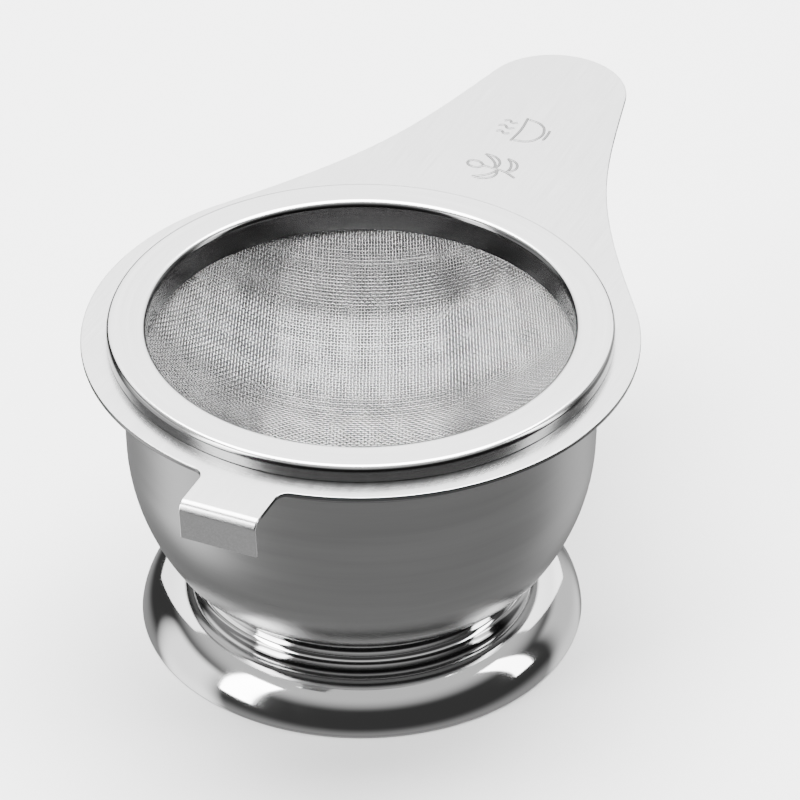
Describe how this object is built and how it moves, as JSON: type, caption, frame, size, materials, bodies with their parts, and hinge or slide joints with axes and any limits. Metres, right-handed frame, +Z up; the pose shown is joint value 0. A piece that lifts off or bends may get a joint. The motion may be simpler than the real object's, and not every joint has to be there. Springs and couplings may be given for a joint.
{
  "type": "tea strainer with drip bowl",
  "caption": "Stainless tea strainer with a flat handle, a hanging hook and a domed wire basket, seated on the rolled rim of its footed drip bowl.",
  "frame": {"origin": "on the ground, under the middle of the whole set's box", "axes": "+Z up along the bowl's axis, +X from the basket towards the handle's tip"},
  "size_m": [0.1414, 0.0868, 0.0548],
  "materials": {
    "bowl_steel": "satin, brushed round the bowl, with a polished rolled rim",
    "foot_steel": "mirror polished",
    "plate_steel": "bright satin",
    "ring_steel": "bright, finely polished",
    "wire_steel": "woven drawn wire",
    "band_steel": "plain rolled"
  },
  "bodies": {
    "drip_bowl": {"bowl": "bowl_steel", "foot": "foot_steel"},
    "strainer": {"handle_plate": "plate_steel", "rim_ring": "ring_steel", "mesh_inner": "wire_steel", "mesh_outer": "wire_steel", "retaining_ring": "band_steel"}
  },
  "joints": [
    {"name": "strainer_lift", "type": "slide", "parent": "drip_bowl", "child": "strainer", "axis": [0, 0, 1], "range_m": [0, 0.09]}
  ]
}
